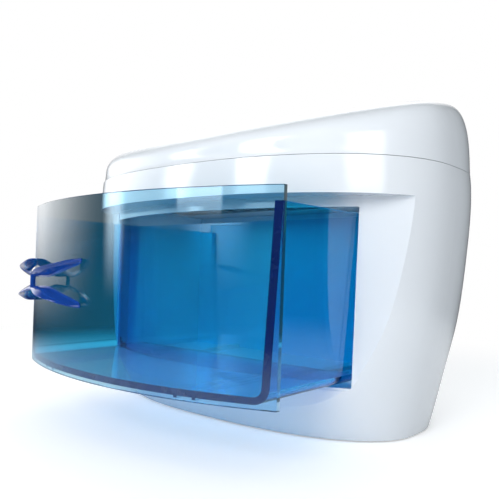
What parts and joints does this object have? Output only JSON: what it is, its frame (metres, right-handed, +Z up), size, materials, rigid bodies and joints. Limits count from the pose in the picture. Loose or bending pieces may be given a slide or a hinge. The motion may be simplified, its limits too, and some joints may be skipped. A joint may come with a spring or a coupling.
{
  "type": "uv sterilizer",
  "caption": "Drawer-type ultraviolet sterilizer for small tools: bowed white cabinet with a lamp chamber, clear blue sliding drawer with a leaf-shaped pull, mains switch and inlet.",
  "frame": {"origin": "under the middle of the part with its drawer at rest, on the surface that its feet stand on", "axes": "+Z up, +X to the right as seen from the front, the drawer opens towards -Y"},
  "size_m": [0.3721, 0.3113, 0.2867],
  "materials": {
    "white_shell": "glossy white moulding",
    "clear_blue": "polished clear blue plastic",
    "navy_plastic": "polished dark blue plastic",
    "base_plastic": "fine matte moulding",
    "foot_rubber": "soft matte rubber",
    "screw_steel": "zinc plated",
    "sheet_steel": "plain sheet",
    "chamber_enamel": "white baked enamel on sheet",
    "bright_aluminium": "bright rolled sheet",
    "rail_plastic": "low-friction moulding",
    "guard_steel": "punched sheet",
    "quartz": "clear quartz",
    "contact_brass": "plain brass",
    "holder_plastic": "white moulding",
    "ballast_steel": "varnished steel case",
    "starter_can": "pale moulded can",
    "lead_sheath": "flexible grey sheath",
    "black_plastic": "fine black moulding"
  },
  "bodies": {
    "case": {"main_housing": "white_shell", "top_cover": "white_shell", "base_plate": "base_plastic", "rear_panel": "base_plastic", "feet": "foot_rubber", "base_screws": "screw_steel", "chassis_screws": "screw_steel", "rear_screws": "screw_steel", "ballast_screws": "screw_steel", "chassis_plate": "sheet_steel", "chamber_liner": "chamber_enamel", "reflector": "bright_aluminium", "runner_left": "rail_plastic", "runner_right": "rail_plastic", "lamp_guard": "guard_steel", "inlet_pins": "contact_brass", "lamp_holder_left": "holder_plastic", "lamp_holder_right": "holder_plastic", "starter_holder": "holder_plastic", "terminal_block": "holder_plastic", "ballast": "ballast_steel", "starter": "starter_can", "wiring": "lead_sheath", "mains_inlet": "black_plastic", "switch_housing": "black_plastic", "interlock_body": "black_plastic"},
    "drawer": {"drawer_front": "clear_blue", "drawer_tub": "clear_blue", "handle_upper_blade": "navy_plastic", "handle_lower_blade": "navy_plastic", "handle_post": "navy_plastic"},
    "lamp": {"lamp_tube": "quartz", "lamp_caps": "bright_aluminium", "lamp_pins": "contact_brass", "lamp_rotors": "holder_plastic"},
    "rocker": {"power_rocker": "black_plastic"},
    "plunger": {"interlock_plunger": "rail_plastic"}
  },
  "joints": [
    {"name": "drawer_slide", "type": "slide", "parent": "case", "child": "drawer", "axis": [0, -1, 0], "range_m": [-0.09, 0.012]},
    {"name": "lamp_twist", "type": "hinge", "parent": "case", "child": "lamp", "pos_m": [0, 0.0466, 0.2067], "axis": [1, 0, 0], "range_deg": [0, 90]},
    {"name": "power_rocker", "type": "hinge", "parent": "case", "child": "rocker", "pos_m": [-0.026, 0.1152, 0.0257], "axis": [0, 0, 1], "range_deg": [-18, 0]},
    {"name": "interlock_press", "type": "slide", "parent": "case", "child": "plunger", "axis": [0, 1, 0], "range_m": [0, 0.0025], "stiffness_N_per_m": 300}
  ]
}
